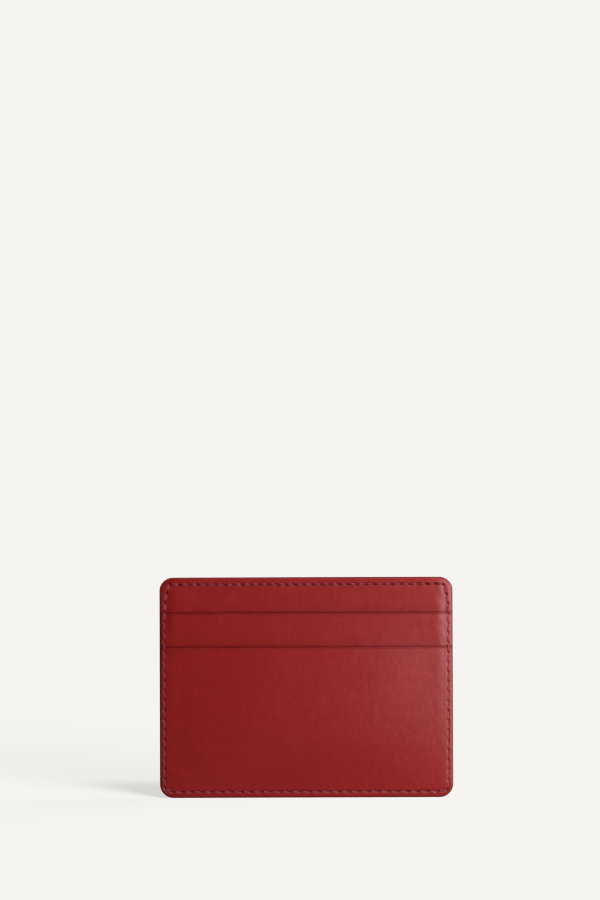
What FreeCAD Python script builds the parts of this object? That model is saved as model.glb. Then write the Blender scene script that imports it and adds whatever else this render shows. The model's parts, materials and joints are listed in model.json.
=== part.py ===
"""Card holder: a slim stitched leather sleeve with two card pockets on each face and a centre pocket.

Frame, in millimetres: X across the width, +Z up, and the front faces -Y. The origin is the middle of the
bottom edge, so the holder stands on Z = 0, and Y = 0 is the plane where the front and back halves meet.

Each half is a pile of sheets: lining, body panel, upper pocket, lower pocket. Round the sides and the bottom
the sheets lie flat on each other and one seam sews both halves together. Inside that seam each sheet rises
over the space it has to leave: the centre pocket behind the body panel, and a card behind each pocket.
"Depth" is the distance from Y = 0 to the outside, the same for both halves. The back half is the front half
mirrored.
"""

import FreeCAD
import Part
import math
import os

Vector = FreeCAD.Vector

# Outside of the finished holder, over the edge paint. Its width follows from the card, below.
HEIGHT = 76.2
CORNER_RADIUS = 4.6
TOP_STRIP = 11.9  # of the body panel, seen above the upper pocket's mouth
MIDDLE_STRIP = 11.8  # of the upper pocket, seen above the lower pocket's mouth

# Sheets and coats.
LINING = 0.2
BODY_LEATHER = 0.7
POCKET_LEATHER = 0.6
EDGE_PAINT = 0.15
MOUTH_PAINT = 0.1

# What goes in: a bank card to ISO/IEC 7810 ID-1, and the room that it gets.
CARD_WIDTH = 85.6
CARD_THICKNESS = 0.76
CARD_PLAY = 0.09  # in thickness, in each card pocket
CARD_SIDE_PLAY = 0.8  # at each end of the card
CENTRE_GAP = 1.4  # between the two linings

# Seams.
SIDE_MARGIN = 1.6  # from the outside to the seam line
TOP_MARGIN = 2.2
BOTTOM_MARGIN = 2.1
SEAM_PITCH = 3.38
TOP_PITCH = 3.08
SEAM_LAND = 0.6  # flat strip between a seam line and the rising leather
CENTRE_LAND = 2.4  # the same beside the centre pocket
SIDE_SLOPE = 5.0  # how far the leather takes to rise beside a side seam
BOTTOM_SLOPE = 3.0  # the same above a bottom seam
CLOSING_ROW = 9.5  # height of the hidden row that closes the upper pocket's bottom
CLOSING_INSET = 0.6  # from the end of the pocket's full gap to the end of that row

# Thread.
THREAD = 0.6  # needle thread, seen on the outside
BOBBIN = 0.3  # bobbin thread of the rows that sew one half only
LEG_GAP = 0.14  # between the two legs of thread in a hole
BEND_ROOM = 0.1  # inside radius of the bend from a leg into a stitch
THREAD_PLAY = 0.05  # between thread and leather in a hole
REST_GAP = 0.01  # between a thread and the sheet that it lies on
LOCK_GAP = 0.05  # from Y = 0 to the loops of either thread in a hole
RUN_SAMPLES = 8  # places along a stitch at which it is checked against the leather

FIELD_X = CARD_WIDTH / 2 + CARD_SIDE_PLAY  # half the width over which a pocket has its full gap
SEAM_X = FIELD_X + SIDE_SLOPE + SEAM_LAND
WIDTH = 2 * (SEAM_X + SIDE_MARGIN)
SEAM_TOP = HEIGHT - TOP_MARGIN
SEAM_RADIUS = CORNER_RADIUS - SIDE_MARGIN
UPPER_MOUTH = HEIGHT - TOP_STRIP
LOWER_MOUTH = UPPER_MOUTH - MIDDLE_STRIP
LEG_OFFSET = (THREAD + LEG_GAP) / 2  # from a hole's middle to each leg's
THREAD_BEND = THREAD / 2 + BEND_ROOM

# Depths of the flat sheets at the seams.
BODY_TOP = LINING + BODY_LEATHER
UPPER_TOP = BODY_TOP + POCKET_LEATHER
LOWER_TOP = UPPER_TOP + POCKET_LEATHER
CARD_GAP = CARD_THICKNESS + CARD_PLAY
BEYOND = 5.0  # how far cutting solids run past the holder


class Bulge:
    """The space under a sheet that rises inside its seam: flat on top, sloping at the sides and bottom."""

    def __init__(self, base, foot_x, foot_z, bottom_foot, top):
        self.base = base  # depth of the flat sheets that it rises from at the sides
        self.foot_x, self.top_x = foot_x, FIELD_X
        self.foot_z, self.top_z = foot_z, foot_z + BOTTOM_SLOPE
        self.bottom_foot, self.top = bottom_foot, top
        self.side_angle = math.atan2(top - base, self.foot_x - self.top_x)
        self.bottom_angle = math.atan2(top - bottom_foot, BOTTOM_SLOPE)

    def grown(self, thickness):
        """Side profile of (x, depth) and bottom profile of (z, depth), moved out by a sheet's thickness."""
        out_x = thickness * math.tan(self.side_angle / 2)
        out_z = thickness * math.tan(self.bottom_angle / 2)
        side = [(self.foot_x + out_x, self.base + thickness), (self.top_x + out_x, self.top + thickness)]
        bottom = [(self.foot_z - out_z, self.bottom_foot + thickness),
                  (self.top_z - out_z, self.top + thickness)]
        return side, bottom

    def solid(self, thickness):
        side, bottom = self.grown(thickness)
        half = [(side[0][0], 0), *side]
        across = half + [(-x, depth) for x, depth in reversed(half)]
        top = bottom[1][1]
        along = [(bottom[0][0], 0), *bottom, (HEIGHT + BEYOND, top), (HEIGHT + BEYOND, 0)]
        return extruded_up(across).common(extruded_across(along))

    def depth_at(self, x, z, thickness):
        """Depth of the grown surface over a point, or 0 outside it."""
        side, bottom = self.grown(thickness)
        depths = [side[1][1]]
        for (foot, low), (top, high), value in ((*side, abs(x)), (*bottom, z)):
            share = (value - foot) / (top - foot)
            if share < 0:
                return 0.0
            depths.append(low + share * (high - low))
        return min(depths)


def polygon_face(points):
    return Part.Face(Part.makePolygon([*points, points[0]]))


def extruded_up(profile):
    """A profile of (x, depth), extruded past the whole height of the front half."""
    face = polygon_face([Vector(x, -depth, -BEYOND) for x, depth in profile])
    return face.extrude(Vector(0, 0, HEIGHT + 2 * BEYOND))


def extruded_across(profile):
    """A profile of (z, depth), extruded past the whole width of the front half."""
    reach = WIDTH / 2 + BEYOND
    face = polygon_face([Vector(-reach, -depth, z) for z, depth in profile])
    return face.extrude(Vector(2 * reach, 0, 0))


def slab(depth, low=-BEYOND, high=HEIGHT + BEYOND):
    """The front half from Y = 0 to a depth, between two heights."""
    return extruded_across([(low, 0), (low, depth), (high, depth), (high, 0)])


def outline(inset):
    """The holder's rounded outline, moved in by inset, as a prism through both halves."""
    half, low, high = WIDTH / 2 - inset, inset, HEIGHT - inset
    box = Part.makeBox(2 * half, 2 * BEYOND, high - low, Vector(-half, -BEYOND, low))
    upright = [e for e in box.Edges if abs(e.tangentAt(e.FirstParameter).y) > 0.99]
    return box.makeFillet(CORNER_RADIUS - inset, upright)


def mirrored(shape):
    return shape.mirror(Vector(0, 0, 0), Vector(0, 1, 0))


# The three spaces of a half, from the middle outwards.
CENTRE = Bulge(0, SEAM_X - CENTRE_LAND, BOTTOM_MARGIN + SEAM_LAND, 0, CENTRE_GAP / 2)
UPPER = Bulge(BODY_TOP, SEAM_X - SEAM_LAND, CLOSING_ROW + SEAM_LAND,
              CENTRE.top + BODY_TOP, CENTRE.top + BODY_TOP + CARD_GAP)
LOWER = Bulge(UPPER_TOP, UPPER.grown(POCKET_LEATHER)[0][0][0], CENTRE.grown(UPPER_TOP)[1][0][0],
              UPPER_TOP, UPPER.top + POCKET_LEATHER + CARD_GAP)

# Each sheet: the flat depths of its two faces, its top edge and the spaces that it rises over.
SHEETS = {
    "lining": (0, LINING, HEIGHT - EDGE_PAINT, [CENTRE]),
    "body_panel": (LINING, BODY_TOP, HEIGHT - EDGE_PAINT, [CENTRE]),
    "upper_pocket": (BODY_TOP, UPPER_TOP, UPPER_MOUTH - MOUTH_PAINT, [CENTRE, UPPER]),
    "lower_pocket": (UPPER_TOP, LOWER_TOP, LOWER_MOUTH - MOUTH_PAINT, [CENTRE, UPPER, LOWER]),
}

# The rows of stitches that pass through each sheet.
SEWN_BY = {
    "lining": ("around", "top"),
    "body_panel": ("around", "top", "closing"),
    "upper_pocket": ("around", "closing"),
    "lower_pocket": ("around",),
}


def below(depth, bulges):
    """Everything of the front half under the surface whose flat edge lies at a depth."""
    solid = slab(depth) if depth > 0 else None
    for bulge in bulges:
        grown = bulge.solid(depth - bulge.base)
        solid = grown if solid is None else solid.fuse(grown)
    return solid


def sheet_blank(inner, outer, bulges):
    """A sheet between two surfaces, not yet cut to its outline."""
    return below(outer, bulges).cut(below(inner, bulges))


def outer_depth(x, z, layers):
    """Depth of the outermost of some sheets over a point of the front half."""
    depth = 0.0
    for name in layers:
        _, outer, top_edge, bulges = SHEETS[name]
        if z <= top_edge + MOUTH_PAINT:
            depth = max([depth, outer] + [b.depth_at(x, z, outer - b.base) for b in bulges])
    return depth


# Seam lines and their holes. A hole is its middle and the direction of the seam there, both at Y = 0.


def seam_edges():
    """The line of the seam through both halves: from the right end of the top row, down, and round to its left."""
    half, bottom, turn = SEAM_X, BOTTOM_MARGIN, SEAM_RADIUS
    nick = turn * (1 - math.sqrt(0.5))  # from the square corner to the middle of the arc, along X and along Z
    right = [(half - turn, SEAM_TOP), (half - nick, SEAM_TOP - nick), (half, SEAM_TOP - turn),
             (half, bottom + turn), (half - nick, bottom + nick), (half - turn, bottom)]
    line = [Vector(x, 0, z) for x, z in right + [(-x, z) for x, z in reversed(right)]]
    edges = []
    for k in range(0, len(line), 3):
        if edges:
            edges.append(Part.makeLine(line[k - 1], line[k]))
        edges.append(Part.Arc(*line[k:k + 3]).toShape())
    return edges


def row_of_holes(edges, pitch):
    """Evenly spaced holes along edges, with one at each end."""
    length = sum(edge.Length for edge in edges)
    stitches = round(length / pitch)
    return [point_along(edges, k * length / stitches) for k in range(stitches + 1)]


def point_along(edges, distance):
    """The point at a distance along edges, and the direction there."""
    for edge in edges[:-1]:
        if distance <= edge.Length:
            break
        distance -= edge.Length
    else:
        edge = edges[-1]
    parameter = edge.getParameterByLength(min(distance, edge.Length))
    return edge.valueAt(parameter), edge.tangentAt(parameter)


def straight_row(half_length, z, pitch):
    line = Part.makeLine(Vector(-half_length, 0, z), Vector(half_length, 0, z))
    return row_of_holes([line], pitch)


def hole_cutters(holes):
    """Slots through everything, each long enough for two legs of thread side by side."""
    radius = THREAD / 2 + THREAD_PLAY
    slot = Part.makeBox(2 * LEG_OFFSET, 2 * BEYOND, 2 * radius, Vector(-LEG_OFFSET, -BEYOND, -radius))
    for end in (-LEG_OFFSET, LEG_OFFSET):
        slot = slot.fuse(Part.makeCylinder(radius, 2 * BEYOND, Vector(end, -BEYOND, 0), Vector(0, 1, 0)))
    slot = slot.removeSplitter()
    cutters = []
    for point, along in holes:
        cutter = slot.copy()
        cutter.rotate(Vector(0, 0, 0), Vector(0, 1, 0), -math.degrees(math.atan2(along.z, along.x)))
        cutter.translate(point)
        cutters.append(cutter)
    return cutters


# Threads.


def stitched_thread(holes, layers, loop_depth, tail_depth):
    """One thread as it lies: over the outside from hole to hole, and down to a loop inside each hole.

    loop_depth is how far in the loops reach, and tail_depth the thread's two ends."""
    turn = loop_depth + LEG_OFFSET + THREAD / 2
    legs = [(point - along * LEG_OFFSET, point + along * LEG_OFFSET) for point, along in holes]
    edges = []
    for (before, start), (end, _) in zip(legs, legs[1:]):
        if edges:
            bottom = at_depth((before + start) / 2, turn - LEG_OFFSET)
            edges.append(Part.Arc(at_depth(before, turn), bottom, at_depth(start, turn)).toShape())
        run = run_depth(start, end, layers)
        ahead = (end - start).normalize() * THREAD_BEND
        edges += leg_and_bend(start, ahead, turn if edges else tail_depth, run)
        edges.append(Part.makeLine(at_depth(start + ahead, run), at_depth(end - ahead, run)))
        last = end is legs[-1][0]
        edges += reversed(leg_and_bend(end, -ahead, tail_depth if last else turn, run))
    return swept(edges, THREAD / 2)


def run_depth(start, end, layers):
    """Depth at which a straight stitch clears the leather under its whole width."""
    across = (end - start).cross(Vector(0, 1, 0)).normalize() * THREAD / 2
    middle_line = [start + (end - start) * step / RUN_SAMPLES for step in range(RUN_SAMPLES + 1)]
    points = [place + across * side for place in middle_line for side in (-1, 0, 1)]
    return max(outer_depth(p.x, p.z, layers) for p in points) + REST_GAP + THREAD / 2


def at_depth(point, depth):
    return Vector(point.x, -depth, point.z)


def leg_and_bend(foot, ahead, low, run):
    """The leg of thread that rises in a hole at foot, and the bend that lays it along ahead."""
    knee = run - THREAD_BEND
    quarter = math.sqrt(0.5)
    middle = at_depth(foot + ahead * (1 - quarter), knee + THREAD_BEND * quarter)
    bend = Part.Arc(at_depth(foot, knee), middle, at_depth(foot + ahead, run)).toShape()
    return [Part.makeLine(at_depth(foot, low), at_depth(foot, knee)), bend]


def swept(edges, radius):
    """A round thread along edges that meet end to end."""
    path = Part.Wire(edges)
    first = path.OrderedEdges[0]
    start = path.OrderedVertexes[0].Point
    tangent = first.tangentAt(first.FirstParameter)
    section = Part.Face(Part.Wire(Part.makeCircle(radius, start, tangent)))
    return path.makePipe(section)


def straight_thread(holes, diameter, depth):
    """A bobbin thread pulled straight along a row, at the depth of its middle."""
    start, end = (at_depth(point, depth) for point, _ in (holes[0], holes[-1]))
    return Part.makeCylinder(diameter / 2, (end - start).Length, start, end - start)


def groove_cutter(holes, width, depth):
    """A square groove from Y = 0 to a depth, along a level row."""
    (start, _), (end, _) = holes[0], holes[-1]
    return Part.makeBox(end.x - start.x, depth, width, Vector(start.x, -depth, start.z - width / 2))


# Coats of paint on the cut edges.


def mouth_paint(name):
    inner, outer, top_edge, bulges = SHEETS[name]
    strip = slab(BEYOND, top_edge, top_edge + MOUTH_PAINT)
    return sheet_blank(inner, outer, bulges).common(outline(EDGE_PAINT)).common(strip)


def edge_ring():
    return outline(0).cut(outline(EDGE_PAINT))


def top_edge_paint():
    """The coat on the top edge of one half, body panel and lining together."""
    above = slab(BEYOND, HEIGHT - CORNER_RADIUS)
    return sheet_blank(0, BODY_TOP, [CENTRE]).common(edge_ring()).common(above)


def side_edge_paint():
    """The coat round the sides and bottom, over the edges of both halves together."""
    steps = [(BODY_TOP, HEIGHT - CORNER_RADIUS), (UPPER_TOP, UPPER_MOUTH), (LOWER_TOP, LOWER_MOUTH)]
    front = slab(BODY_TOP, high=steps[0][1])
    for depth, high in steps[1:]:
        front = front.fuse(slab(depth, high=high))
    return front.fuse(mirrored(front)).common(edge_ring()).removeSplitter()


def build():
    around = row_of_holes(seam_edges(), SEAM_PITCH)
    top = straight_row(SEAM_X - SEAM_RADIUS, SEAM_TOP, TOP_PITCH)
    closing = straight_row(FIELD_X - CLOSING_INSET, CLOSING_ROW, SEAM_PITCH)
    cutters = {
        "around": hole_cutters(around),
        "top": hole_cutters(top[1:-1]),  # the top row shares its first and last hole with the seam
        "closing": hole_cutters(closing),
    }

    half = {}
    for name, (inner, outer, top_edge, bulges) in SHEETS.items():
        sheet = sheet_blank(inner, outer, bulges).common(outline(EDGE_PAINT))
        sheet = sheet.common(slab(BEYOND, high=top_edge))
        half[name] = sheet.cut([cutter for row in SEWN_BY[name] for cutter in cutters[row]])

    # The bobbin thread of the closing row lies in a groove in the inside of the body panel, under the lining.
    bobbin_depth = CENTRE.top + LINING + REST_GAP + BOBBIN / 2
    above_bobbin = bobbin_depth + BOBBIN / 2 + REST_GAP
    half["body_panel"] = half["body_panel"].cut(groove_cutter(closing, BOBBIN + 2 * REST_GAP, above_bobbin))
    half["closing_bobbin_thread"] = straight_thread(closing, BOBBIN, bobbin_depth)
    under_lower_pocket = ["lining", "body_panel", "upper_pocket"]
    half["closing_thread"] = stitched_thread(closing, under_lower_pocket, above_bobbin, above_bobbin)

    # That of the top row lies on the lining, inside the centre pocket, where that has its full gap.
    bobbin_depth = CENTRE.top - REST_GAP - BOBBIN / 2
    over_gap = [hole for hole in top if abs(hole[0].x) <= FIELD_X]
    half["top_edge_bobbin_thread"] = straight_thread(over_gap, BOBBIN, bobbin_depth)
    above_bobbin = bobbin_depth + BOBBIN / 2
    half["top_edge_thread"] = stitched_thread(top, ["lining", "body_panel"], above_bobbin, LOCK_GAP)
    half["seam_thread"] = stitched_thread(around, list(SHEETS), LOCK_GAP, LOCK_GAP)

    half["top_edge_paint"] = top_edge_paint()
    for name in ("upper_pocket", "lower_pocket"):
        half[name + "_mouth_paint"] = mouth_paint(name).cut(cutters["around"])

    nodes = {"side_and_bottom_edge_paint": side_edge_paint()}
    for name, shape in half.items():
        nodes["front_" + name] = shape
        nodes["back_" + name] = mirrored(shape)
    return nodes


def main():
    os.makedirs("parts", exist_ok=True)
    for name, shape in build().items():
        solids = shape.Solids
        valid = shape.isValid() and all(s.isClosed() and s.Volume > 0 for s in solids)
        print(f"{name}: {len(solids)} solid(s), {shape.Volume:.3f} mm3, {'valid' if valid else 'NOT VALID'}")
        shape.exportStep(f"parts/{name}.step")


main()
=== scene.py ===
"""Card holder: its looks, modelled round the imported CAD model.

In metres and in the CAD model's frame: X across, +Z up, the front faces -Y, and the two halves meet at Y = 0.
A surface is given by its depth, which is its distance from Y = 0, over a point (x, z). The pieces of the
front half are built from such depths. The back half is the same pieces turned half a turn round the Z axis.
"""

import json
import math

import bpy
import numpy as np
from mathutils import Matrix, Vector

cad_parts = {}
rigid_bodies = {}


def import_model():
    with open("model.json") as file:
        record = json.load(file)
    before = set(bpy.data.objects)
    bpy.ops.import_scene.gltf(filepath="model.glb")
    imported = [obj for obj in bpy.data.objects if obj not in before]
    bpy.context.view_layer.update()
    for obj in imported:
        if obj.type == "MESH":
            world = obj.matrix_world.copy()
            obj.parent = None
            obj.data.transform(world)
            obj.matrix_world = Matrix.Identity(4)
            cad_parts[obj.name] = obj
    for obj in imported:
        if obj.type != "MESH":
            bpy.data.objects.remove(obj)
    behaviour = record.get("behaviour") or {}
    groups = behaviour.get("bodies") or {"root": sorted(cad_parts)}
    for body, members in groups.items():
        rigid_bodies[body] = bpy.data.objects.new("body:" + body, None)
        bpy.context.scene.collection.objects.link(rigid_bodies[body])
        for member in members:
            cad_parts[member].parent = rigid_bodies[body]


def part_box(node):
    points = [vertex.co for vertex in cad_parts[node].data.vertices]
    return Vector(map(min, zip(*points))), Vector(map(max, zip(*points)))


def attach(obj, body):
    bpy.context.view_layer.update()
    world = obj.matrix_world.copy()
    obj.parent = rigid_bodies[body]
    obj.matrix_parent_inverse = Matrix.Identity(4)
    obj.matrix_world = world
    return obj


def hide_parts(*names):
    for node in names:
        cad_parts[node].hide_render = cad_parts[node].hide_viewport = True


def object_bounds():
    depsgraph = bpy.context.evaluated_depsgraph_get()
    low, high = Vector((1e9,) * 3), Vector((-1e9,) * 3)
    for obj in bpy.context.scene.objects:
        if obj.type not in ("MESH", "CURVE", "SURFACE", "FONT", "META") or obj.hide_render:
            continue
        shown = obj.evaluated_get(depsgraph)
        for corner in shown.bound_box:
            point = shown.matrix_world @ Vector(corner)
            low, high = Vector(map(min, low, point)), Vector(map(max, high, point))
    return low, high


MM = 0.001

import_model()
cad_low, cad_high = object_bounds()


def lowest(node):
    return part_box("front_" + node)[0]


def highest(node):
    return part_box("front_" + node)[1]


# Sheets, coats and thread, as in the CAD model.
CORNER_RADIUS = 4.6 * MM
LINING = 0.2 * MM
BODY_LEATHER = 0.7 * MM
POCKET_LEATHER = 0.6 * MM
MOUTH_PAINT = 0.1 * MM
THREAD = 0.6 * MM
BOBBIN = 0.3 * MM
TOP_PITCH = 3.08 * MM
SEAM_PITCH = 3.38 * MM
CLOSING_ROW = 9.5 * MM

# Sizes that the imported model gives.
HALF_WIDTH = cad_high.x
HEIGHT = cad_high.z
LEATHER_X = highest("body_panel").x
EDGE_PAINT = HALF_WIDTH - LEATHER_X
UPPER_MOUTH = highest("upper_pocket_mouth_paint").z
LOWER_MOUTH = highest("lower_pocket_mouth_paint").z
TOP_ROW = highest("top_edge_thread").z - THREAD / 2
SEAM_X = highest("seam_thread").x - THREAD / 2
SEAM_BOTTOM = lowest("seam_thread").z + THREAD / 2
CLOSING_X = highest("closing_thread").x - THREAD / 2
BOBBIN_X = highest("top_edge_bobbin_thread").x
BODY_TOP = LINING + BODY_LEATHER
UPPER_TOP = BODY_TOP + POCKET_LEATHER
CENTRE_GAP = -lowest("body_panel").y - BODY_TOP  # half of it, in each half
CARD_GAP = -lowest("upper_pocket").y - UPPER_TOP - CENTRE_GAP

# How the leather rises from the seam: part of its rise on a short slope, the rest as a slow crown.
CENTRE_FOOT = (SEAM_X - 0.7 * MM, SEAM_BOTTOM + 0.6 * MM)
UPPER_FOOT = (SEAM_X - 0.6 * MM, CLOSING_ROW + 0.6 * MM)
LOWER_FOOT = (SEAM_X - 0.5 * MM, SEAM_BOTTOM + 0.4 * MM)
CENTRE_CROWN, UPPER_CROWN, LOWER_CROWN = 0.45, 0.72, 0.86  # the crown's share of the rise
SLOPE_REACH = 3.6 * MM
SLOPE_LEFT = (0.05, 0.42, 1)  # share of the slopes left at the bottom edge, the lower mouth and the upper
CROWN_ACROSS, CROWN_UP = 44 * MM, 30 * MM
SLOPE_POWER = 2.3  # the higher, the sooner it slows down
SLOPE_FOOT = 0.18  # how rounded its foot is
WANDER = 0.8 * MM  # how far the slopes' upper ends stray to either side
WANDER_PITCHES = (310, 730, 1370)  # in radians a metre up the holder
WANDER_TURN = 40  # the same across it
WANDER_APART = 2e4  # the same for each sheet's own foot, which sets the sheets' waves apart

# Where the leather is pressed down, and by how much.
EDGE_SQUEEZE = (0.2, 0.42)  # share of the depth lost at the sides' outer edges, low down and at the top
SQUEEZE_FROM = 25 * MM  # below the lower mouth, where the lower share ends
SQUEEZE_POWER = 1.4
LEVEL_SQUEEZE = 0.4  # that much of it along the top and the bottom
SIDE_BAND = (7 * MM, 3 * MM)  # from the side, where the one goes over into the other
SEAM_SQUEEZE = 0.1  # share of the depth lost under the seam
GROOVE = 0.45 * MM
GROOVE_SHADE, GROOVE_SHADE_WIDTH = 0.55, 0.4 * MM  # how dark the groove under a seam is painted: painted shade in the groove, with some of the pressed leather's own darker tone
ROUND_DEPTH = 0.16 * MM  # what the rounding of a cut edge takes off
EDGE_ROUND, MOUTH_ROUND = 0.14 * MM, 0.27 * MM  # how far it reaches
CREASE_DEPTH = 0.12 * MM
CREASE_BELOW = 0.85 * MM  # from a mouth to the line pressed under it
CREASE_WIDTH = 0.26 * MM
CREASE_SHADE = 0.6  # how much of the groove's painted shade and darker tone that line has
HOLE_DEPTH = 0.45 * MM
HOLE_SHORT = 0.3 * MM  # half a hole's width
LEVEL_HOLE, UPRIGHT_HOLE = 0.92 * MM, 0.46 * MM  # half a hole's length in a level row, and in the sides
HOLE_AHEAD = 0.5 * MM  # from where a thread goes through to the middle of its hole, in a level row
SLIT_SHARE = 0.55  # how deep the holes in the pockets are, pulled nearly shut, against those above
HOLE_LEAN = math.radians(14)
TRENCH_WIDTH, TRENCH_ROOM = 0.28 * MM, 0.05 * MM  # in the body panel, for the closing row's bobbin thread

# The seam's line: it comes in towards the ends of the top row.
SEAM_TURN = 2.2 * MM
DRIFT = 1.75 * MM
DRIFT_HEIGHT = 8.8 * MM

# Places on the finished thread.
STRANDS = 3
STRAND_SIDES = 8
STRAND_TWIST = 1.5 * MM
STRAND_RADIUS, STRAND_OFFSET = 0.29, 0.21  # of the thread's thickness
STITCH_LEAN = 0.15 * MM
STITCH_SAMPLE = 0.14 * MM
THREAD_SUNK = 0.16 * MM  # how far the thread's middle lies under the leather's surface where a stitch starts
THREAD_RISE = 0.34 * MM  # how much it has risen where the stitch ends
DIVE = 0.9 * MM  # how deep it dives into a hole
DIVE_START = (0.9 * MM, 1.5 * MM)  # how far it dives beside a hole where a stitch starts: upright, level
DIVE_END = 0.35 * MM  # and where it ends
DOUBLED = 4  # stitches at each end of the seam that are sewn twice
DOUBLED_APART = 0.42  # of the thread's thickness, to either side

# Places on the coats of paint.
COAT_WRAP = 0.2 * MM  # how far they reach in over the faces beside the edge
COAT_OVER = 0.01 * MM  # how far they stand out over those faces
MOUTH_COAT_UNDER = 0.06 * MM  # how far a mouth's coat stays under the outer face, which is rounded off there
COAT_GROOVE, COAT_GROOVE_WIDTH = 0.03 * MM, 0.09 * MM  # where two layers meet under them
MOUTH_EASE = 0.5 * MM  # over which thread and paint come down from a mouth to the sheet behind it

# Sizes of the meshes.
FINE_REACH = 0.5 * MM  # round a hole's middle, where a grid is at its finest
FINE_GROWTH = 0.5  # how much the spacing grows with the distance beyond that
CORNER_STEPS = 40
OUTLINE_STEP = 0.5 * MM
MOUTH_STEP, MOUTH_STEP_GROWTH = 0.07 * MM, 0.4  # along the outline at a mouth, and how that grows
SHOWN_FROM = 1.5 * MM  # below a mouth, where the sheet behind it may start to show
COAT_STEPS, MOUTH_COAT_STEPS, RING_STEPS = 25, 17, 45  # round a coat, from face to face

# What sets the noise in each sheet's leather apart.
BODY_NOISE, UPPER_NOISE, LOWER_NOISE, BACK_NOISE = 0, 3.7, 8.1, 21.3

# The slight unevenness that all sheets share: waves of a pitch, a direction and a phase.
rng = np.random.default_rng(7)
WAVES = [(rng.uniform(90, 420), rng.uniform(0, math.pi), rng.uniform(0, 2 * math.pi)) for _ in range(9)]
WAVE_HEIGHT = 0.006 * MM
WAVE_LIFT = 4  # keeps their sum mostly above nothing
WAVE_FADE = 9 * MM  # from the outline, over which they die out


# Depths.


def eased(share):
    """From 0 to 1, rounded at the foot and slowing down towards the top."""
    share = np.clip(share, 0, 1)
    share = share * share * (1 + SLOPE_FOOT) / (share + SLOPE_FOOT)
    return 1 - (1 - share) ** SLOPE_POWER


def rise(x, z, foot, crown):
    """How far a sheet has come up from its foot, from 0 to 1."""
    sides, bottom = foot[0] - np.abs(x), z - foot[1]
    apart = x * WANDER_TURN + foot[0] * WANDER_APART
    stray = sum(np.sin(z * pitch + apart) for pitch in WANDER_PITCHES) / 2
    sides = sides + WANDER * stray * np.clip(sides / SLOPE_REACH, 0, 1)
    crown = 1 - (1 - crown) * np.interp(z, [0, LOWER_MOUTH, UPPER_MOUTH], SLOPE_LEFT)
    slope = eased(sides / SLOPE_REACH) * eased(bottom / SLOPE_REACH)
    slow = eased(sides / CROWN_ACROSS) * eased(bottom / CROWN_UP)
    return (1 - crown) * slope + crown * slow


def inside(x, z, half, low, high, radius):
    """Distance inwards from a rounded rectangle's outline."""
    across = np.abs(x) - half + radius
    along = np.maximum(low - z, z - high) + radius
    outside = np.hypot(np.maximum(across, 0), np.maximum(along, 0))
    return radius - outside - np.minimum(np.maximum(across, along), 0)


def edge_distance(x, z):
    return inside(x, z, HALF_WIDTH - EDGE_PAINT, EDGE_PAINT, HEIGHT - EDGE_PAINT, CORNER_RADIUS - EDGE_PAINT)


def seam_x(z):
    """Half the distance between the two sides of the seam at a height."""
    share = np.clip((z - TOP_ROW + DRIFT_HEIGHT) / DRIFT_HEIGHT, 0, 1)
    return SEAM_X - DRIFT * share ** 2


def seam_distance(x, z):
    across = np.abs(x) - seam_x(z) + SEAM_TURN
    along = SEAM_BOTTOM - z + SEAM_TURN
    outside = np.hypot(np.maximum(across, 0), np.maximum(along, 0))
    into = outside + np.minimum(np.maximum(across, along), 0) - SEAM_TURN
    return np.abs(np.maximum(into, z - TOP_ROW))


def pressed(x, z):
    """What is left of a depth at the outer edge and under the seam."""
    margin = HALF_WIDTH - SEAM_X
    flange = np.clip(1 - edge_distance(x, z) / margin, 0, 1)
    groove = np.exp(-(seam_distance(x, z) / GROOVE) ** 2)
    squeeze = np.interp(z, [LOWER_MOUTH - SQUEEZE_FROM, UPPER_MOUTH], EDGE_SQUEEZE)
    beside = [LEATHER_X - away for away in SIDE_BAND]
    squeeze = squeeze * np.interp(np.abs(x), beside, [LEVEL_SQUEEZE, 1])
    return (1 - squeeze * flange ** SQUEEZE_POWER) * (1 - SEAM_SQUEEZE * groove)


def waves(x, z):
    total = sum(np.sin(k * (x * math.cos(a) + z * math.sin(a)) + phase) for k, a, phase in WAVES)
    return WAVE_HEIGHT * (total + WAVE_LIFT) * np.clip(edge_distance(x, z) / WAVE_FADE, 0, 1)


def centre_gap(x, z):
    return CENTRE_GAP * rise(x, z, CENTRE_FOOT, CENTRE_CROWN)


def body_outside(x, z):
    return (BODY_TOP + centre_gap(x, z)) * pressed(x, z) + waves(x, z)


def upper_inside(x, z):
    gap = CARD_GAP * rise(x, z, UPPER_FOOT, UPPER_CROWN)
    return body_outside(x, z) + gap * pressed(x, z)


def upper_outside(x, z):
    return upper_inside(x, z) + POCKET_LEATHER * pressed(x, z)


def lower_inside(x, z):
    foot = (UPPER_FOOT[0], LOWER_FOOT[1])
    gaps = CARD_GAP * (rise(x, z, foot, UPPER_CROWN) + rise(x, z, LOWER_FOOT, LOWER_CROWN))
    return body_outside(x, z) + (POCKET_LEATHER + gaps) * pressed(x, z)


def lower_outside(x, z):
    return lower_inside(x, z) + POCKET_LEATHER * pressed(x, z)


def outside(x, z):
    """The outermost surface, eased over the steps at the mouths as thread and paint are."""
    depth = body_outside(x, z)
    for surface, mouth in ((upper_outside, UPPER_MOUTH), (lower_outside, LOWER_MOUTH)):
        share = np.clip((mouth + MOUTH_EASE - z) / MOUTH_EASE, 0, 1)
        depth = depth + share * np.maximum(surface(x, z) - depth, 0)
    return depth


# Rows of holes: points (x, z), evenly spaced.


def running_length(line):
    """How far along a line of points each of them is."""
    return np.concatenate([[0], np.cumsum(np.linalg.norm(np.diff(line, axis=0), axis=1))])


def evenly(line, pitch):
    run = running_length(line)
    stations = np.linspace(0, run[-1], round(run[-1] / pitch) + 1)
    return np.column_stack([np.interp(stations, run, line[:, k]) for k in (0, 1)])


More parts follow.
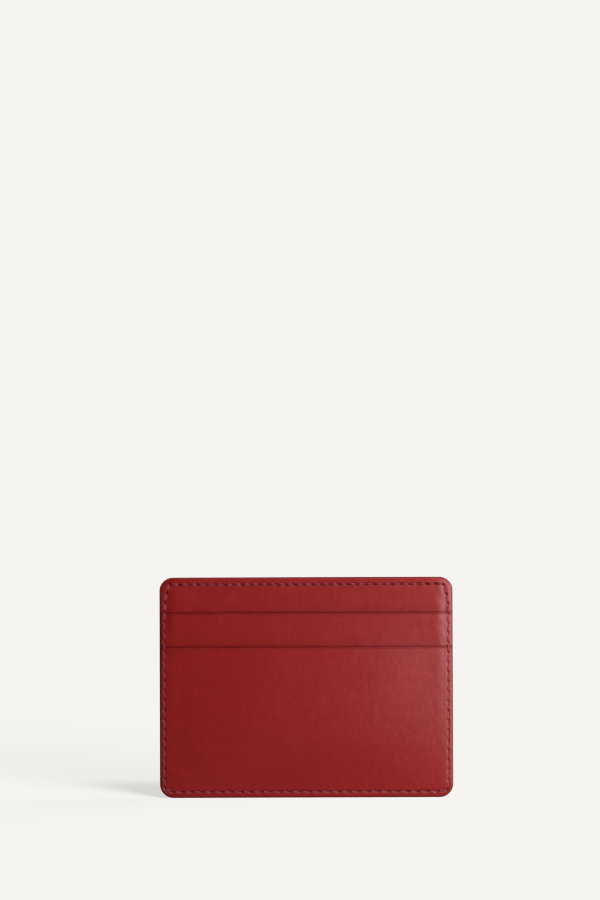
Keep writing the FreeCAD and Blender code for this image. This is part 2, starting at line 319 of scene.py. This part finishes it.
def seam_line():
    z = np.linspace(TOP_ROW, SEAM_BOTTOM + SEAM_TURN, 300)
    side = np.column_stack([seam_x(z), z])
    angle = np.linspace(0, math.pi / 2, CORNER_STEPS)[1:]
    middle = SEAM_X - SEAM_TURN, SEAM_BOTTOM + SEAM_TURN
    turn = np.column_stack([middle[0] + SEAM_TURN * np.cos(angle), middle[1] - SEAM_TURN * np.sin(angle)])
    right = np.vstack([side, turn])
    return np.vstack([right, right[::-1] * (-1, 1)])


def level_row(half, z, pitch):
    return evenly(np.array([[-half, z], [half, z]]), pitch)


seam_holes = evenly(seam_line(), SEAM_PITCH)
top_holes = level_row(seam_x(TOP_ROW), TOP_ROW, TOP_PITCH)
closing_holes = level_row(CLOSING_X, CLOSING_ROW, SEAM_PITCH)


def holes_in(x, z, holes, tilt):
    """How far into a hole each point is, from 0 to 1. Holes are long along their row, turned by tilt."""
    into = np.zeros_like(x)
    ahead = np.gradient(holes, axis=0)
    ahead /= np.linalg.norm(ahead, axis=1, keepdims=True)
    for (hole_x, hole_z), (ahead_x, ahead_z) in zip(holes, ahead):
        turn = math.atan2(ahead_z, ahead_x) + tilt
        level = abs(ahead_x)
        half_length = UPRIGHT_HOLE + (LEVEL_HOLE - UPRIGHT_HOLE) * level
        slit = 1 if hole_z > UPPER_MOUTH - 1 * MM else SLIT_SHARE
        along = (x - hole_x) * math.cos(turn) + (z - hole_z) * math.sin(turn) - HOLE_AHEAD * level
        across = (z - hole_z) * math.cos(turn) - (x - hole_x) * math.sin(turn)
        away = np.hypot(along / half_length, across / HOLE_SHORT)
        into = np.maximum(into, slit * np.exp(-away ** 3))
    return into


# Meshes.


def grid_lines(low, high, spacing):
    """Places from low to high, about as far apart as spacing(place) says."""
    fine = np.linspace(low, high, 20001)
    count = np.concatenate([[0], np.cumsum(np.diff(fine) / spacing(fine[1:]))])
    return np.interp(np.linspace(0, count[-1], int(np.ceil(count[-1])) + 1), count, fine)


def spaced(*stops):
    """A spacing that is given, in millimetres, at some places."""
    places, spacings = zip(*stops)
    return lambda at: np.interp(at, places, np.array(spacings) * MM)


def finer_at(places, spacing, fine=0.14 * MM):
    """The same spacing, but fine near some places."""
    def finer(at):
        nearest = np.min(np.abs(at[:, None] - places[None, :]), axis=1)
        return np.minimum(spacing(at), fine + np.maximum(nearest - FINE_REACH, 0) * FINE_GROWTH)

    return finer


def rim(grid):
    """The outermost entries of a grid, in order round it."""
    return np.concatenate([grid[0, :-1], grid[:-1, -1], grid[-1, :0:-1], grid[:0:-1, 0]])


def quads(grid):
    return np.stack([grid[:-1, :-1], grid[:-1, 1:], grid[1:, 1:], grid[1:, :-1]], axis=-1).reshape(-1, 4)


def new_piece(name, points, faces, materials, face_material=None, attributes=None, sharp=35):
    """A mesh piece from points of (x, depth, z) in the front half."""
    mesh = bpy.data.meshes.new(name)
    mesh.from_pydata((points * (1, -1, 1)).tolist(), [], [list(map(int, face)) for face in faces])
    for material in materials:
        mesh.materials.append(material)
    if face_material is not None:
        mesh.polygons.foreach_set("material_index", np.asarray(face_material, np.int32))
    for key, values in (attributes or {}).items():
        layer = mesh.attributes.new(key, "FLOAT", "POINT")
        layer.data.foreach_set("value", np.asarray(values, np.float32))
    mesh.polygons.foreach_set("use_smooth", np.ones(len(faces), bool))
    mesh.set_sharp_from_angle(angle=math.radians(sharp))
    mesh.update()
    piece = bpy.data.objects.new(name, mesh)
    bpy.context.scene.collection.objects.link(piece)
    return piece


def sheet_piece(name, columns, rows, inner, outer, materials, panel, marks=(), skip=4):
    """A closed sheet between two depths. The inner face has every skip-th line of the outer face's grid."""
    turn = CORNER_RADIUS - EDGE_PAINT
    core = LEATHER_X - 2 * turn
    column, z = np.meshgrid(columns, rows)
    into = np.clip(np.maximum(EDGE_PAINT + turn - z, z - HEIGHT + EDGE_PAINT + turn), 0, turn)
    edge = LEATHER_X - turn + np.sqrt(turn ** 2 - into ** 2)
    spare = np.maximum(np.abs(column) - core, 0)
    x = np.sign(column) * (np.minimum(np.abs(column), core) + spare * (edge - core) / (LEATHER_X - core))

    fine = np.arange(x.size).reshape(x.shape)
    row_picks = sorted({*range(0, len(rows), skip), len(rows) - 1})
    column_picks = sorted({*range(0, len(columns), skip), len(columns) - 1})
    coarse = np.full(x.shape, -1)
    picked = np.ix_(row_picks, column_picks)
    coarse[picked] = x.size + np.arange(len(row_picks) * len(column_picks)).reshape(len(row_picks), -1)

    outer_points = np.stack([x, outer(x, z), z], axis=-1).reshape(-1, 3)
    inner_x, inner_z = x[picked], z[picked]
    inner_points = np.stack([inner_x, inner(inner_x, inner_z), inner_z], axis=-1).reshape(-1, 3)
    front = quads(fine)
    back = quads(coarse[picked])[:, ::-1]
    outer_rim, inner_rim = rim(fine), rim(coarse)
    stations = [*np.flatnonzero(inner_rim >= 0), len(outer_rim)]
    walls = []
    for start, end in zip(stations, stations[1:]):
        fine_side = [outer_rim[k % len(outer_rim)] for k in range(start, end + 1)]
        walls.append([*fine_side[::-1], inner_rim[start], inner_rim[end % len(inner_rim)]])
    faces = [*front, *back, *walls]
    face_material = [0] * len(front) + [1] * (len(back) + len(walls))

    points = np.vstack([outer_points, inner_points])
    attributes = {"panel": np.full(len(points), panel)}
    for key, mark in marks:
        attributes[key] = np.concatenate([mark(x, z).ravel(), np.zeros(len(inner_points))])
    return new_piece(name, points, faces, materials, face_material, attributes)


def coat_piece(name, line, normal, low, high, bulge, material, steps=COAT_STEPS, grooves=()):
    """A coat of paint over a cut edge along a line of (x, z), between two depths at each of its points."""
    angle = np.linspace(-math.pi / 2, math.pi / 2, steps)
    share = np.sin(angle)
    out = (1 - np.abs(share) ** 5) ** 0.5 * (0.75 + 0.25 * np.cos(angle))  # flat, with rounded shoulders
    middle, half = (low + high)[:, None] / 2, (high - low)[:, None] / 2
    depth = middle + half * share
    stand = -COAT_WRAP + (bulge + COAT_WRAP) * out[None, :] * np.ones_like(depth)
    for groove in grooves:
        stand -= COAT_GROOVE * np.exp(-((depth - groove) / COAT_GROOVE_WIDTH) ** 2)
    x = line[:, 0, None] + normal[:, 0, None] * stand
    z = line[:, 1, None] + normal[:, 1, None] * stand
    points = np.stack([x, depth, z], axis=-1).reshape(-1, 3)
    ring = np.arange(len(points)).reshape(depth.shape)
    closed = np.concatenate([ring, ring[:, :1]], axis=1)
    faces = [*quads(closed)[:, ::-1], ring[0], ring[-1][::-1]]
    return new_piece(name, points, faces, [material], sharp=50)


def strand_tube(path, across, diameter):
    """Points and faces of a thread: strands twisted round each other along a path of (x, depth, z)."""
    ahead = np.gradient(path, axis=0)
    ahead /= np.linalg.norm(ahead, axis=1, keepdims=True)
    side = across - ahead * np.sum(across * ahead, axis=1, keepdims=True)
    side /= np.linalg.norm(side, axis=1, keepdims=True)
    up = np.cross(ahead, side)
    turn = np.linspace(0, 2 * math.pi, STRAND_SIDES, endpoint=False)[None, :, None]
    section = np.cos(turn) * side[:, None] + np.sin(turn) * up[:, None]
    all_points, all_faces = [], []
    for k in range(STRANDS):
        phase = (2 * math.pi * (running_length(path) / STRAND_TWIST + k / STRANDS))[:, None]
        middle = path + diameter * STRAND_OFFSET * (np.cos(phase) * side + np.sin(phase) * up)
        ring = middle[:, None] + diameter * STRAND_RADIUS * section
        base = sum(len(points) for points in all_points)
        index = base + np.arange(ring.shape[0] * STRAND_SIDES).reshape(-1, STRAND_SIDES)
        closed = np.concatenate([index, index[:, :1]], axis=1)
        all_points.append(ring.reshape(-1, 3))
        all_faces += [*quads(closed), index[0], index[-1][::-1]]
    return np.vstack(all_points), all_faces


def thread_paths(holes, surface, diameter, lean, outwards, doubled):
    """The path of the thread along a row, and of the second pass over the stitches at both ends of it."""
    def path(first, last, shift):
        points, sides = [], []
        for a, b in zip(holes[first:last], holes[first + 1:last + 1]):
            length = np.linalg.norm(b - a)
            ahead = (b - a) / length
            across = np.array([-ahead[1], ahead[0]])
            along = np.linspace(0, 1, int(length / STITCH_SAMPLE), endpoint=False)[:, None]
            arch = np.sin(math.pi * along)
            place = a + (b - a) * along + across * (lean * (2 * along - 1) + shift * arch)
            x, z = place[:, 0], place[:, 1]
            reach = np.interp(abs(ahead[0]), [0, 1], DIVE_START)
            share = along[:, 0]
            dive = np.exp(-(share * length / reach) ** 2) + np.exp(-((1 - share) * length / DIVE_END) ** 2)
            lift = (THREAD_RISE * share - THREAD_SUNK - DIVE * dive) * diameter / THREAD
            points.append(np.column_stack([x, surface(x, z) + outwards * lift, z]))
            sides.append(np.tile([across[0], 0, across[1]], (len(x), 1)))
        return np.vstack(points), np.vstack(sides)

    count = len(holes) - 1
    if not doubled:
        return [path(0, count, 0)]
    shift = diameter * DOUBLED_APART
    return [path(0, doubled, -shift), path(0, doubled, shift), path(doubled, count - doubled, 0),
            path(count - doubled, count, -shift), path(count - doubled, count, shift)]


def thread_piece(name, paths, diameter, material):
    points, faces = [], []
    for path, across in paths:
        tube, tube_faces = strand_tube(path, across, diameter)
        base = sum(len(part) for part in points)
        points.append(tube)
        faces += [face + base for face in tube_faces]
    return new_piece(name, np.vstack(points), faces, [material], sharp=60)


# Materials.


def node(tree, kind, inputs=None, **settings):
    """A shader node. An input that is another node's output is linked."""
    new = tree.nodes.new("ShaderNode" + kind)
    for key, value in settings.items():
        setattr(new, key, value)
    for key, value in (inputs or {}).items():
        if isinstance(value, bpy.types.NodeSocket):
            tree.links.new(value, new.inputs[key])
        else:
            new.inputs[key].default_value = value
    return new


def math_node(tree, operation, *values):
    return node(tree, "Math", dict(enumerate(values)), operation=operation).outputs[0]


def summed(tree, *terms):
    """The sum of some values, each times its share."""
    total, *others = [math_node(tree, "MULTIPLY", value, share) for value, share in terms]
    for other in others:
        total = math_node(tree, "ADD", total, other)
    return total


def remap(tree, value, low, high):
    """A value from 0 to 1, spread from low to high."""
    return node(tree, "MapRange", {"Value": value, "To Min": low, "To Max": high}).outputs[0]


def mixed(tree, factor, a, b, blend="MIX"):
    """Two colours mixed."""
    return node(tree, "Mix", {0: factor, 6: a, 7: b}, data_type="RGBA", blend_type=blend).outputs[2]


def attribute(tree, name):
    return node(tree, "Attribute", attribute_name=name).outputs["Fac"]


def noise(tree, place, scale, detail, roughness, w=0.0):
    inputs = {"Vector": place, "W": w, "Scale": scale, "Detail": detail, "Roughness": roughness}
    return node(tree, "TexNoise", inputs, noise_dimensions="4D").outputs[0]


def surface_material(name, **constants):
    """A material, its tree, its Principled shader and its object coordinates."""
    material = bpy.data.materials.new(name)
    material.use_nodes = True
    tree = material.node_tree
    shader = tree.nodes["Principled BSDF"]
    for key, value in constants.items():
        shader.inputs[key.replace("_", " ")].default_value = value
    place = tree.nodes.new("ShaderNodeTexCoord").outputs["Object"]
    return material, tree, shader, place


def bumped(tree, shader, height, distance):
    bump = node(tree, "Bump", {"Height": height, "Distance": distance, "Strength": 1.0})
    tree.links.new(bump.outputs[0], shader.inputs["Normal"])


def grey(value):
    return (value, value, value, 1)


def leather_material():
    material, tree, shader, place = surface_material("red_leather", Specular_IOR_Level=0.48)
    panel = attribute(tree, "panel")
    cloud = noise(tree, place, 55, 3, 0.55, panel)
    upright = node(tree, "Mapping", {"Vector": place, "Scale": (1, 1, 0.6)}).outputs[0]
    mottle = noise(tree, upright, 520, 4, 0.6, panel)
    fleck = noise(tree, place, 1500, 3, 0.6, panel)
    tone = summed(tree, (cloud, 0.5), (mottle, 0.5))
    colour = mixed(tree, tone, (0.225, 0.0045, 0.0043, 1), (0.385, 0.0105, 0.0098, 1))
    colour = mixed(tree, 1.0, colour, node(tree, "CombineColor", {
        0: remap(tree, fleck, 0.82, 1.18), 1: remap(tree, fleck, 0.7, 1.3), 2: remap(tree, fleck, 0.7, 1.3),
    }).outputs[0], "MULTIPLY")
    # Painted shade: darker along the seam's groove and the crease under each mouth, partly the pressed
    # leather's own darker tone.
    colour = mixed(tree, attribute(tree, "groove"), colour, (0.2, 0.008, 0.009, 1))
    # Painted shade: near black in the stitch holes, which are only dents.
    colour = mixed(tree, attribute(tree, "hole_shade"), colour, (0.022, 0.0012, 0.0022, 1))
    tree.links.new(colour, shader.inputs["Base Color"])
    tree.links.new(remap(tree, mottle, 0.27, 0.49), shader.inputs["Roughness"])
    pores = node(tree, "TexVoronoi", {"Vector": place, "Scale": 3200.0}, feature="F1").outputs["Distance"]
    bumped(tree, shader, summed(tree, (pores, -0.5), (fleck, 2.0), (mottle, 6.0)), 0.012 * MM)
    return material


def flesh_material():
    material, tree, shader, place = surface_material(
        "leather_flesh_side", Roughness=0.95, Specular_IOR_Level=0.2)
    fibres = noise(tree, place, 2600, 4, 0.7)
    patches = noise(tree, place, 300, 3, 0.6)
    colour = mixed(tree, patches, (0.13, 0.011, 0.011, 1), (0.2, 0.022, 0.02, 1))
    colour = mixed(tree, 0.5, colour, mixed(tree, fibres, grey(0.6), grey(1.0)), "MULTIPLY")
    tree.links.new(colour, shader.inputs["Base Color"])
    bumped(tree, shader, fibres, 0.08 * MM)
    return material


def paint_material(name, dark, light, shine):
    material, tree, shader, place = surface_material(name, Specular_IOR_Level=shine)
    lumps = noise(tree, place, 700, 3, 0.5)
    colour = mixed(tree, lumps, dark, light)
    tree.links.new(colour, shader.inputs["Base Color"])
    tree.links.new(remap(tree, lumps, 0.38, 0.52), shader.inputs["Roughness"])
    bumped(tree, shader, lumps, 0.03 * MM)
    return material


def thread_material():
    material, tree, shader, place = surface_material(
        "sewing_thread", Roughness=0.55, Sheen_Weight=0.4, Sheen_Roughness=0.4, Specular_IOR_Level=0.4)
    fibres = noise(tree, place, 5200, 3, 0.7)
    patches = noise(tree, place, 500, 2, 0.5)
    colour = mixed(tree, patches, (0.24, 0.018, 0.036, 1), (0.48, 0.06, 0.11, 1))
    colour = mixed(tree, 0.6, colour, mixed(tree, fibres, grey(0.55), grey(1.2)), "MULTIPLY")
    tree.links.new(colour, shader.inputs["Base Color"])
    bumped(tree, shader, fibres, 0.05 * MM)
    return material


def lining_material():
    material, tree, shader, place = surface_material(
        "lining_fabric", Roughness=0.8, Sheen_Weight=0.25, Specular_IOR_Level=0.3)
    turned = node(tree, "Mapping", {"Vector": place, "Rotation": (0, math.radians(45), 0)}).outputs[0]
    wale = node(tree, "TexWave", {"Vector": turned, "Scale": 900.0, "Distortion": 0.4, "Detail": 1.0},
                wave_type="BANDS", bands_direction="X").outputs[0]
    yarn = noise(tree, place, 3000, 2, 0.6)
    colour = mixed(tree, wale, (0.1, 0.009, 0.012, 1), (0.17, 0.018, 0.022, 1))
    colour = mixed(tree, 0.4, colour, mixed(tree, yarn, grey(0.6), grey(1.1)), "MULTIPLY")
    tree.links.new(colour, shader.inputs["Base Color"])
    bumped(tree, shader, wale, 0.05 * MM)
    return material


leather, flesh = leather_material(), flesh_material()
paint = paint_material("edge_paint", (0.19, 0.008, 0.009, 1), (0.25, 0.012, 0.013, 1), 0.45)
# The top edge's paint is painted lighter than the sides' paint: painted light from above on the top edge.
lit_top_paint = paint_material("top_edge_paint", (0.29, 0.009, 0.009, 1), (0.37, 0.013, 0.013, 1), 0.5)
mouth_paint = paint_material("mouth_paint", (0.1, 0.0025, 0.004, 1), (0.15, 0.004, 0.006, 1), 0.15)
thread, twill = thread_material(), lining_material()


# The pieces of the front half.


def side_spacing(at):
    """Across a sheet: fine at its cut edges and over the seam and slopes, coarse in the middle."""
    away = (LEATHER_X - np.abs(at)) / MM
    return MM * np.interp(away, [0, 0.4, 0.6, 3.2, 8, 14], [0.06, 0.06, 0.15, 0.16, 0.36, 0.7])


def wide_spacing(at):
    return np.maximum(side_spacing(at), 0.3 * MM) * 2


side_holes = seam_holes[np.abs(seam_holes[:, 0]) > SEAM_X - 3 * MM][:, 1]
bottom_holes = seam_holes[seam_holes[:, 1] < SEAM_BOTTOM + 0.5 * MM][:, 0]


# Painted shade along the seam's groove, partly the pressed leather's own darker tone.
def groove_shade(x, z):
    return GROOVE_SHADE * np.exp(-(seam_distance(x, z) / GROOVE_SHADE_WIDTH) ** 2)


# How far into a seam hole each point is: it sets the hole's dent and the painted shade in it.
def seam_hole_dent_and_shade(x, z):
    return holes_in(x, z, seam_holes, HOLE_LEAN)


# The same for the seam's and the top row's holes: dent and painted shade.
def body_hole_dent_and_shade(x, z):
    return np.maximum(seam_hole_dent_and_shade(x, z), holes_in(x, z, top_holes[1:-1], -HOLE_LEAN))


def rounded_off(x, z, top=math.inf):
    """What a sheet's outer face loses beside its cut edges."""
    beside_edge = np.exp(-(edge_distance(x, z) / EDGE_ROUND) ** 2)
    return ROUND_DEPTH * np.maximum(beside_edge, np.exp(-((top - z) / MOUTH_ROUND) ** 2))


def crease(z, mouth):
    """The line pressed under a mouth, from 0 to 1."""
    return np.exp(-((mouth - z - CREASE_BELOW) / CREASE_WIDTH) ** 2)


def lining_outside(x, z):
    return (LINING + centre_gap(x, z)) * pressed(x, z)


def lining_inside(x, z):
    return centre_gap(x, z) * pressed(x, z)


def body_inside(x, z):
    trench = np.exp(-((z - CLOSING_ROW) / TRENCH_WIDTH) ** 4) * (np.abs(x) < CLOSING_X)
    return lining_outside(x, z) + (BOBBIN + TRENCH_ROOM) * trench


def body_outer(x, z):
    return body_outside(x, z) - rounded_off(x, z) - HOLE_DEPTH * body_hole_dent_and_shade(x, z)


def pocket_sheet(name, inner, outer, mouth, shown, panel):
    """A pocket's leather, with a finer grid from the height where it shows."""
    high = mouth - MOUTH_PAINT

    def pocket_outer(x, z):
        relief = rounded_off(x, z, high) + CREASE_DEPTH * crease(z, mouth) + HOLE_DEPTH * seam_hole_dent_and_shade(x, z)
        return outer(x, z) - relief

    # Painted shade in the seam's groove and along the crease under the mouth.
    def pocket_groove_shade(x, z):
        return np.maximum(groove_shade(x, z), CREASE_SHADE * crease(z, mouth))

    columns_spacing = side_spacing
    foot, slope, middle = 0.4, 0.5, 1.2
    if shown == 0:
        columns_spacing = finer_at(bottom_holes, side_spacing, 0.18 * MM)
        foot, slope, middle = 0.12, 0.15, 0.5
    rows_spacing = spaced(
        (0, foot), (4 * MM, slope), (12 * MM, middle), (max(shown - 2 * MM, 13 * MM), middle),
        (max(shown, 15 * MM), 0.45), (high - 2 * MM, 0.3), (high - 1.3 * MM, 0.08), (high, 0.05))
    rows = grid_lines(EDGE_PAINT, high, finer_at(side_holes[side_holes > shown], rows_spacing, 0.19 * MM))
    columns = grid_lines(-LEATHER_X, LEATHER_X, columns_spacing)
    marks = [("groove", pocket_groove_shade), ("hole_shade", seam_hole_dent_and_shade)]
    return sheet_piece(name, columns, rows, inner, pocket_outer, [leather, flesh], panel, marks)


def mouth_coat(name, inner, outer, mouth):
    along = grid_lines(-LEATHER_X, LEATHER_X, side_spacing)
    line = np.column_stack([along, np.full_like(along, mouth - MOUTH_PAINT)])
    upwards = np.tile([0.0, 1.0], (len(along), 1))
    low = inner(along, line[:, 1]) - COAT_OVER
    high = outer(along, line[:, 1]) - MOUTH_COAT_UNDER
    return coat_piece(name, line, upwards, low, high, MOUTH_PAINT, mouth_paint, MOUTH_COAT_STEPS)


def build_half():
    """Every piece of the front half, its CAD node's name without front_, and its slot."""
    pieces = []
    top = HEIGHT - EDGE_PAINT
    columns = grid_lines(-LEATHER_X, LEATHER_X, wide_spacing)
    rows = grid_lines(EDGE_PAINT, top, spaced(
        (0, 0.25), (4 * MM, 0.35), (12 * MM, 0.9), (top - 3 * MM, 0.9), (top, 0.2)))
    lining = sheet_piece("lining", columns, rows, lining_inside, lining_outside, [twill, twill],
                         BODY_NOISE, skip=1)
    pieces.append((lining, "lining", "lining_fabric"))

    shown = UPPER_MOUTH - SHOWN_FROM
    columns = grid_lines(-LEATHER_X, LEATHER_X, finer_at(top_holes[:, 0], side_spacing))
    rows = grid_lines(EDGE_PAINT, top, finer_at(side_holes[side_holes > shown], spaced(
        (0, 0.5), (CLOSING_ROW - 1 * MM, 0.5), (CLOSING_ROW, 0.06), (CLOSING_ROW + 1 * MM, 0.5),
        (shown - 3 * MM, 1.2), (shown, 0.25), (TOP_ROW - 1.2 * MM, 0.2), (TOP_ROW, 0.1), (top, 0.08))))
    marks = [("groove", groove_shade), ("hole_shade", body_hole_dent_and_shade)]
    body = sheet_piece("body_panel", columns, rows, body_inside, body_outer, [leather, flesh],
                       BODY_NOISE, marks)
    pieces.append((body, "body_panel", "red_leather"))

    for name, inner, outer, mouth, shown, panel in (
            ("upper_pocket", upper_inside, upper_outside, UPPER_MOUTH, LOWER_MOUTH - SHOWN_FROM, UPPER_NOISE),
            ("lower_pocket", lower_inside, lower_outside, LOWER_MOUTH, 0, LOWER_NOISE)):
        pieces.append((pocket_sheet(name, inner, outer, mouth, shown, panel), name, "red_leather"))
        coat = mouth_coat(name + "_mouth_paint", inner, outer, mouth)
        pieces.append((coat, name + "_mouth_paint", "edge_paint"))

    line, normal = outline_points(top_half=True)
    low = lining_inside(line[:, 0], line[:, 1])
    high = body_outside(line[:, 0], line[:, 1]) + COAT_OVER
    coat = coat_piece("top_edge_paint", line, normal, low, high, EDGE_PAINT, lit_top_paint)
    pieces.append((coat, "top_edge_paint", "edge_paint"))

    top_bobbin_holes = top_holes[np.abs(top_holes[:, 0]) < BOBBIN_X]
    for name, holes, surface, diameter, lean, outwards, doubled in (
            ("seam_thread", seam_holes, outside, THREAD, STITCH_LEAN, 1, DOUBLED),
            ("top_edge_thread", top_holes, body_outside, THREAD, STITCH_LEAN, 1, 0),
            ("top_edge_bobbin_thread", top_bobbin_holes, lining_inside, BOBBIN, 0, -1, 0),
            ("closing_thread", closing_holes, upper_outside, THREAD, STITCH_LEAN, 1, 0),
            ("closing_bobbin_thread", closing_holes, lining_outside, BOBBIN, 0, 1, 0)):
        paths = thread_paths(holes, surface, diameter, lean, outwards, doubled)
        pieces.append((thread_piece(name, paths, diameter, thread), name, "sewing_thread"))
    return pieces


def near_mouths(at):
    """The spacing along the sides' outline."""
    away = np.minimum.reduce([np.abs(at - UPPER_MOUTH), np.abs(at - LOWER_MOUTH), np.full_like(at, 1 * MM)])
    return MOUTH_STEP + MOUTH_STEP_GROWTH * away


def outline_points(top_half):
    """Points along the leather's outline and the directions out of it: over the top, or round the rest."""
    turn = CORNER_RADIUS - EDGE_PAINT
    joint = HEIGHT - CORNER_RADIUS
    middle_x = LEATHER_X - turn
    angle = np.linspace(0, math.pi / 2, CORNER_STEPS)
    across = grid_lines(-middle_x, middle_x, lambda at: np.full_like(at, OUTLINE_STEP))[1:-1]
    if top_half:
        level, upwards = HEIGHT - EDGE_PAINT, 1.0
        corner_normal = np.column_stack([np.cos(angle), np.sin(angle)])
        corner = (middle_x, joint) + turn * corner_normal
    else:
        level, upwards = EDGE_PAINT, -1.0
        side = grid_lines(CORNER_RADIUS, joint, near_mouths)[::-1]
        turned = np.column_stack([np.cos(angle[1:]), -np.sin(angle[1:])])
        corner_normal = np.vstack([np.tile([1.0, 0.0], (len(side), 1)), turned])
        corner = np.vstack([np.column_stack([np.full_like(side, LEATHER_X), side]),
                            (middle_x, CORNER_RADIUS) + turn * turned])
    flat = np.column_stack([across[::-1], np.full_like(across, level)])
    flat_normal = np.tile([0.0, upwards], (len(flat), 1))
    other = [part[::-1] * (-1, 1) for part in (corner, corner_normal)]
    return np.vstack([corner, flat, other[0]]), np.vstack([corner_normal, flat_normal, other[1]])


def finish_piece(piece, node_name):
    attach(piece, "root")
    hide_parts(node_name)


for front, name, slot in build_half():
    back = front.copy()
    back.data = front.data.copy()
    back.data.transform(Matrix.Rotation(math.pi, 4, "Z"))
    layer = back.data.attributes.get("panel")
    if layer:
        values = np.zeros(len(layer.data), np.float32)
        layer.data.foreach_get("value", values)
        layer.data.foreach_set("value", values + BACK_NOISE)
    bpy.context.scene.collection.objects.link(back)
    for piece, side in ((front, "front"), (back, "back")):
        piece.name = f"{side}_{name}_look"
        finish_piece(piece, f"{side}_{name}")

line, normal = outline_points(top_half=False)
surface = outside(line[:, 0], line[:, 1])
ring = coat_piece("side_and_bottom_edge_paint_look", line, normal, -surface, surface, EDGE_PAINT, paint,
                  RING_STEPS, grooves=[0, BODY_TOP, -BODY_TOP, UPPER_TOP, -UPPER_TOP])
finish_piece(ring, "side_and_bottom_edge_paint")


# Camera, light and floor.

LENS = 108.4  # in millimetres, as Blender wants it
CAMERA_DISTANCE = 0.9368  # from the front of the holder
CAMERA_ABOVE = 82.4 * MM  # above the holder's middle
CAMERA_ACROSS = -1.9 * MM
CAMERA_ROLL = 0.2  # in degrees
PALE = (0.913, 0.905, 0.871, 1)
STUDIO_LEVEL = 0.03  # how bright the pale studio is to everything but the camera
WASH = 2.9  # strength of the light that falls on the floor alone
FLOOR_REACH = 4.0
FLOOR_CORNERS = [(-1, -1), (1, -1), (1, 1), (-1, 1)]
MIDDLE = Vector((0, 0, HEIGHT / 2))

camera_data = bpy.data.cameras.new("camera")
camera_data.lens = LENS
camera = bpy.data.objects.new("camera", camera_data)
camera.location = (CAMERA_ACROSS, cad_low.y - CAMERA_DISTANCE, HEIGHT / 2 + CAMERA_ABOVE)
camera.rotation_euler = (math.radians(90), math.radians(CAMERA_ROLL), 0)
bpy.context.scene.collection.objects.link(camera)
bpy.context.scene.camera = camera


def area_light(name, place, size, watts):
    """A round lamp turned to the holder's middle."""
    data = bpy.data.lights.new(name, "AREA")
    data.shape = "DISK"
    data.size = size
    data.energy = watts
    light = bpy.data.objects.new(name, data)
    light.location = place
    light.rotation_euler = (MIDDLE - Vector(place)).to_track_quat("-Z", "Y").to_euler()
    bpy.context.scene.collection.objects.link(light)
    return light


area_light("side", (0.30, -0.34, 0.10), size=0.32, watts=1.72)
area_light("overhead", (0.3, -0.5, 1.0), size=0.3, watts=3.9)
area_light("edge", (0.5, 0.12, 0.12), size=0.3, watts=1.2)


def studio_world():
    """Plain pale behind everything. The holder is lit by it only dimly."""
    world = bpy.data.worlds.new("studio")
    world.use_nodes = True
    bpy.context.scene.world = world
    tree = world.node_tree
    seen = tree.nodes["Background"]
    seen.inputs["Color"].default_value = PALE
    light = node(tree, "Background", {"Color": PALE, "Strength": STUDIO_LEVEL})
    camera_ray = node(tree, "LightPath").outputs["Is Camera Ray"]
    both = node(tree, "MixShader", {0: camera_ray, 1: light.outputs[0], 2: seen.outputs[0]})
    tree.links.new(both.outputs[0], tree.nodes["World Output"].inputs["Surface"])


studio_world()

floor_mesh = bpy.data.meshes.new("floor")
floor_mesh.from_pydata([(x * FLOOR_REACH, y * FLOOR_REACH, 0) for x, y in FLOOR_CORNERS], [], [(0, 1, 2, 3)])
floor = bpy.data.objects.new("floor", floor_mesh)
bpy.context.scene.collection.objects.link(floor)
floor_material = bpy.data.materials.new("floor")
floor_material.use_nodes = True
floor_shader = floor_material.node_tree.nodes["Principled BSDF"]
floor_shader.inputs["Base Color"].default_value = PALE
floor_shader.inputs["Roughness"].default_value = 0.9
floor_mesh.materials.append(floor_material)
floor.is_shadow_catcher = True
floor.visible_glossy = False

# Light for the floor alone, which keeps the holder's shadow as faint as it is in a large bright studio.
wash_data = bpy.data.lights.new("floor_wash", "SUN")
wash_data.energy = WASH
wash_data.use_shadow = False
wash_data.cycles.max_bounces = 0
wash = bpy.data.objects.new("floor_wash", wash_data)
bpy.context.scene.collection.objects.link(wash)
only_floor = bpy.data.collections.new("only_floor")
only_floor.objects.link(floor)
wash.light_linking.receiver_collection = only_floor

# Light for the holder's back alone, which the camera doesn't see.
behind = area_light("behind", (-0.35, 0.8, 0.4), size=0.5, watts=1.8)
only_holder = bpy.data.collections.new("only_holder")
for thing in bpy.context.scene.collection.objects:
    if thing.type == "MESH" and thing != floor:
        only_holder.objects.link(thing)
behind.light_linking.receiver_collection = only_holder

bpy.context.scene.view_settings.view_transform = "Standard"
